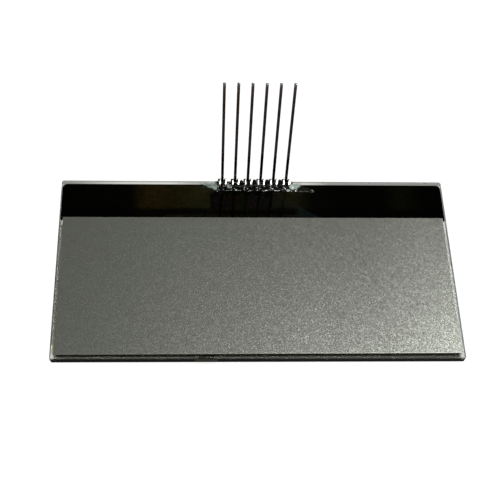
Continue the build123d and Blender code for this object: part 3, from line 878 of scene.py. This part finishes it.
# %% Sheet of the tongues
SLOPE = math.atan2(CREST_Z - FOOT_Z, web_y - FOOT_BACK)
TURN = math.pi / 2 + SLOPE
reach = TOP_BEND * math.tan(TURN / 2)
inner_x = LEG_HALF + SLIT
pick(pin, "EDGE", lambda a, b: on_top(a, b) and min(abs(a.x), abs(b.x)) > inner_x - HAIR)
grow((0, 0, CREST_Z - reach - rear_z))
bpy.ops.mesh.spin(steps=8, angle=TURN, center=(0, web_y - TOP_BEND, CREST_Z - reach), axis=(-1, 0, 0))
bend_end_y, bend_end_z = web_y - reach * math.cos(SLOPE), CREST_Z - reach * math.sin(SLOPE)
grow((0, FOOT_BACK - bend_end_y, FOOT_Z - bend_end_z))
grow((0, FOOT_FRONT - FOOT_BACK, 0))
grow((0, TONGUE_TIP - FOOT_FRONT, TONGUE_TIP_RISE))
bpy.ops.object.mode_set(mode="OBJECT")
print("with tongues", len(pin.data.polygons), "faces")

# %% [markdown]
# The tongues narrow towards their tips, so the outer corners of each row move inwards. The jaw grows the
# other way, down and under the glass.

# %% Taper of the tongues, and the jaw
TIP_WIDTH = 0.3 * MM
TAPER_START = back_y - 0.25 * MM
for row in (FOOT_BACK, FOOT_FRONT, TONGUE_TIP):
    share = (TAPER_START - row) / (TAPER_START - TONGUE_TIP)
    for side in (-1, 1):
        for column in (HEAD_HALF - WEB_CORNER, HEAD_HALF):
            end = inner_x + TIP_WIDTH * (column - inner_x) / (HEAD_HALF - inner_x)
            pick(pin, "VERT", lambda c: near(c.y, row) and near(c.x, side * column))
            shift((side * share * (end - column), 0, 0))
pick(pin, "EDGE",
     lambda a, b: near(a.z, WEB_LOW) and level(a, b) and max(abs(a.x), abs(b.x)) < JAW_HALF + HAIR)
grow((0, 0, JAW_Z + TOP_BEND - WEB_LOW))
bpy.ops.mesh.spin(steps=6, angle=math.pi / 2, center=(0, web_y - TOP_BEND, JAW_Z + TOP_BEND), axis=(1, 0, 0))
grow((0, JAW_KNEE - web_y + TOP_BEND, 0))
grow((0, JAW_TIP - JAW_KNEE, -JAW_TIP_DROP))
bpy.ops.object.mode_set(mode="OBJECT")
print("whole sheet", len(pin.data.polygons), "faces")

# %% [markdown]
# Solidify gives the sheet its thickness on both sides, and a small bevel rounds the stamped edges, which is
# what makes a thin bright line along real metal.

# %% Thickness and rounded edges
ARRIS = 0.03 * MM
SHARP_EDGE = math.radians(40)
SMOOTH_BEND = math.radians(25)

solidify = pin.modifiers.new("stock", "SOLIDIFY")
solidify.thickness = STOCK
solidify.offset = 0
solidify.use_even_offset = True
bevel = pin.modifiers.new("arris", "BEVEL")
bevel.width = ARRIS
bevel.segments = 2
bevel.limit_method = "ANGLE"
bevel.angle_limit = SHARP_EDGE
bevel.use_clamp_overlap = True
apply_modifiers(pin)
bpy.ops.object.mode_set(mode="EDIT")
done(pin)
bpy.ops.object.select_all(action="DESELECT")
pin.select_set(True)
bpy.ops.object.shade_smooth_by_angle(angle=SMOOTH_BEND)
print("pin", len(pin.data.polygons), "faces")

# %% [markdown]
# The six pins are copies of this one, each with its own mesh. No two legs lean quite alike in the photograph,
# so the top of each copy is moved sideways by its own small angle, before the copy goes to its place in the
# row.

# %% Six pins
FIRST_LEAN = -0.745
LEAN_STEP = 0.07

clip_pins = [pin]
for number in PINS[1:]:
    copy = pin.copy()
    copy.data = pin.data.copy()
    copy.name = copy.data.name = f"clip_pin_{number}"
    bpy.context.collection.objects.link(copy)
    clip_pins.append(copy)
for number, piece, x in zip(PINS, clip_pins, pin_xs):
    lean = math.radians(FIRST_LEAN + (number - 1) * LEAN_STEP)
    bpy.ops.object.select_all(action="DESELECT")
    piece.select_set(True)
    pick(piece, "VERT", lambda c: c.z > LEG_TOP / 2)
    shift(((LEG_TOP - rear_z) * math.tan(lean), 0, 0))
    bpy.ops.mesh.select_all(action="SELECT")
    shift((x, 0, 0))
    bpy.ops.object.mode_set(mode="OBJECT")
    dress(piece, [tin], "pin_metal", f"pin_{number}")

# %% [markdown]
# The seal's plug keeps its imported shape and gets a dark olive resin. The resin round the pins is a clear
# glassy one, with a faint green cast.

# %% Resins
plug = grainy("plug_resin", (0.004, 0.004, 0.001), (0.016, 0.015, 0.006), 0.15, 0.3, 2.0, 0.004)
coat_node("end_seal", plug)
clear_resin = glass_material("clear_resin", (0.72, 0.80, 0.76), 0.07, 0.13, 1.5, 0.002)
print("resins", plug.name, clear_resin.name)

# %% [markdown]
# The clear resin was dabbed on the pins with a needle, and it ran together and wetted the glass. Separate
# drops that melt into each other are hard to extrude, so the drops are flattened balls, joined and wrapped in
# one skin by a voxel remesh. A voxel can't be smaller than a tenth of a millimetre, so the bead is made a
# hundred times too large and shrunk at the end. Each ball is sunk by half its visible height, because resin
# meets glass at a gentle slope, and a cut along the glass leaves a flat foot. Sinking narrows a ball, and
# SPREAD makes up for it.

# %% Bead of clear resin
ENLARGED = 100
SPREAD = 1.155
VOXEL = 0.06
SMOOTH_DROP = math.radians(60)
BEAD_LUMPS = [
    (-9.6, 1.1, 0.9, 0.6, 0.07), (-8.6, 1.35, 1.2, 1.0, 0.11), (-7.5, 1.5, 1.0, 1.1, 0.14),
    (-7.05, 0.75, 0.26, 0.85, 0.36), (7.52, 0.9, 0.26, 0.95, 0.36), (8.2, 1.55, 1.3, 1.0, 0.13),
    (9.3, 1.85, 1.2, 0.85, 0.07), (10.5, 2.15, 1.3, 0.5, 0.055), (11.4, 2.45, 0.9, 0.3, 0.05),
    (11.79, 2.5, 0.34, 0.26, 0.20),
]
for pin_x in pin_xs:
    x = pin_x / MM
    BEAD_LUMPS += [(x, 1.65, 1.9, 0.95, 0.10), (x - 0.35, 1.85, 0.80, 0.66, 0.30)]
    BEAD_LUMPS += [(x - 0.66, 1.10, 0.34, 0.36, 0.36), (x + 0.62, 1.15, 0.30, 0.36, 0.34)]


def wetted_bead(name, lumps, lift):
    """Melt flattened, half sunk balls into one skin and cut it flat. A lump is x, setback, two radii, height."""
    bpy.ops.object.select_all(action="DESELECT")
    balls = []
    for x, setback, length, depth, height in lumps:
        size = Vector((length * SPREAD, depth * SPREAD, 2 * height)) * MM * ENLARGED
        place = Vector((x, -setback, -height)) * MM * ENLARGED
        bpy.ops.mesh.primitive_uv_sphere_add(segments=32, ring_count=16, radius=1, scale=size, location=place)
        balls.append(bpy.context.object)
    for ball in balls:
        ball.select_set(True)
    bpy.context.view_layer.objects.active = balls[0]
    bpy.ops.object.join()
    bead = bpy.context.object
    bead.name = bead.data.name = name
    bpy.ops.object.transform_apply(location=True, rotation=True, scale=True)
    remesh = bead.modifiers.new("skin", "REMESH")
    remesh.mode = "VOXEL"
    remesh.voxel_size = VOXEL * MM * ENLARGED
    smooth = bead.modifiers.new("melt", "SMOOTH")
    smooth.factor = 0.5
    smooth.iterations = 10
    apply_modifiers(bead)
    bpy.ops.object.mode_set(mode="EDIT")
    bpy.ops.mesh.select_all(action="SELECT")
    bpy.ops.mesh.bisect(plane_co=(0, 0, 0), plane_no=(0, 0, 1), use_fill=True, clear_inner=True)
    bpy.ops.mesh.select_all(action="SELECT")
    bpy.ops.transform.resize(value=(1 / ENLARGED,) * 3, center_override=(0, 0, 0))
    shift((0, back_y, rear_z + lift))
    done(bead)
    bpy.ops.object.shade_smooth_by_angle(angle=SMOOTH_DROP)
    return bead


bead = wetted_bead("pin_resin", BEAD_LUMPS, HAIR)
dress(bead, [clear_resin], "clear_resin", "pin_glue_rear")

# %% [markdown]
# At both ends of the row, and between the first two pins, the resin is thin and shows a pale grey-green over the
# black. That pale colour is painted light: it stands for the white floor's light carried through the clear
# resin. These patches are flat drops too, with a soft material: its colour drifts, and its alpha falls away
# towards the rim of each drop, so that the patch has no hard outline. The rim is found from an attribute that
# holds the height of each corner.

# %% Resin patches of painted light
SOLID_HEIGHT = 0.13
LIT_PATCH_LUMPS = [
    (-10.0, 0.60, 0.75, 0.30, 0.05), (-9.2, 0.85, 1.0, 0.55, 0.08), (-8.3, 1.15, 1.1, 0.85, 0.11),
    (-7.6, 1.4, 0.7, 1.0, 0.13), (7.7, 1.45, 0.6, 0.95, 0.12), (8.4, 1.3, 0.75, 0.95, 0.10),
    (8.9, 0.95, 0.75, 0.7, 0.09), (9.4, 0.7, 0.5, 0.45, 0.07), (-4.95, 1.2, 0.30, 0.75, 0.28),
    (-4.55, 1.5, 0.22, 0.5, 0.22),
]
lit_patch = wetted_bead("resin_painted_light", LIT_PATCH_LUMPS, 3 * HAIR)
depth = lit_patch.data.attributes.new("depth", "FLOAT", "POINT")
depth.data.foreach_set("value", [(corner.co.z - rear_z) / MM for corner in lit_patch.data.vertices])
# Painted light: the pale grey-green stands for floor light carried through the resin.
lit_patch_resin = grainy("lit_patch_resin", (0.14, 0.19, 0.17), (0.40, 0.44, 0.40), 0.2, 0.35, 1.1, detail=1.0)
tree, shader = inside(lit_patch_resin)
reader = add_node(tree, "ShaderNodeAttribute", attribute_name="depth")
fade = add_node(tree, "ShaderNodeMapRange", {"From Max": SOLID_HEIGHT}, interpolation_type="SMOOTHSTEP")
veil = add_node(tree, "ShaderNodeMapRange",
                {"From Min": 0.35, "From Max": 0.62, "To Min": 0.6, "To Max": 0.95})
wire(tree, (reader, "Fac", fade, "Value"), (tree.nodes["grain"], "Height", veil, "Value"),
     (both_of(tree, fade, veil), 0, shader, "Alpha"))
dress(lit_patch, [lit_patch_resin], "clear_resin")

# %% [markdown]
# Between the right-hand pins the black resin from the other side has crept over the edge of the glass. It is
# made in the same way, as a few drops that stand on the rear face and hang over the edge.

# %% Black resin between the pins
CREEP_WIDTHS = (0.36, 0.52, 0.56, 0.54)
CREEP_HEIGHTS = (0.44, 0.74, 0.78, 0.74)
creep_lumps = []
for x, width, height in zip(pin_xs[1:5], CREEP_WIDTHS, CREEP_HEIGHTS):
    between = x / MM + PITCH / 2
    creep_lumps += [(between, 0.25, width, 0.50, height), (between, 0.95, width * 1.4, 0.8, height * 0.5)]
creep = wetted_bead("edge_resin", creep_lumps, 2 * HAIR)
creep_resin = grainy("creep_resin", 0.001, 0.003, 0.10, 0.2, 1.5, 0.01, specular=0.12)
dress(creep, [creep_resin], "black_resin")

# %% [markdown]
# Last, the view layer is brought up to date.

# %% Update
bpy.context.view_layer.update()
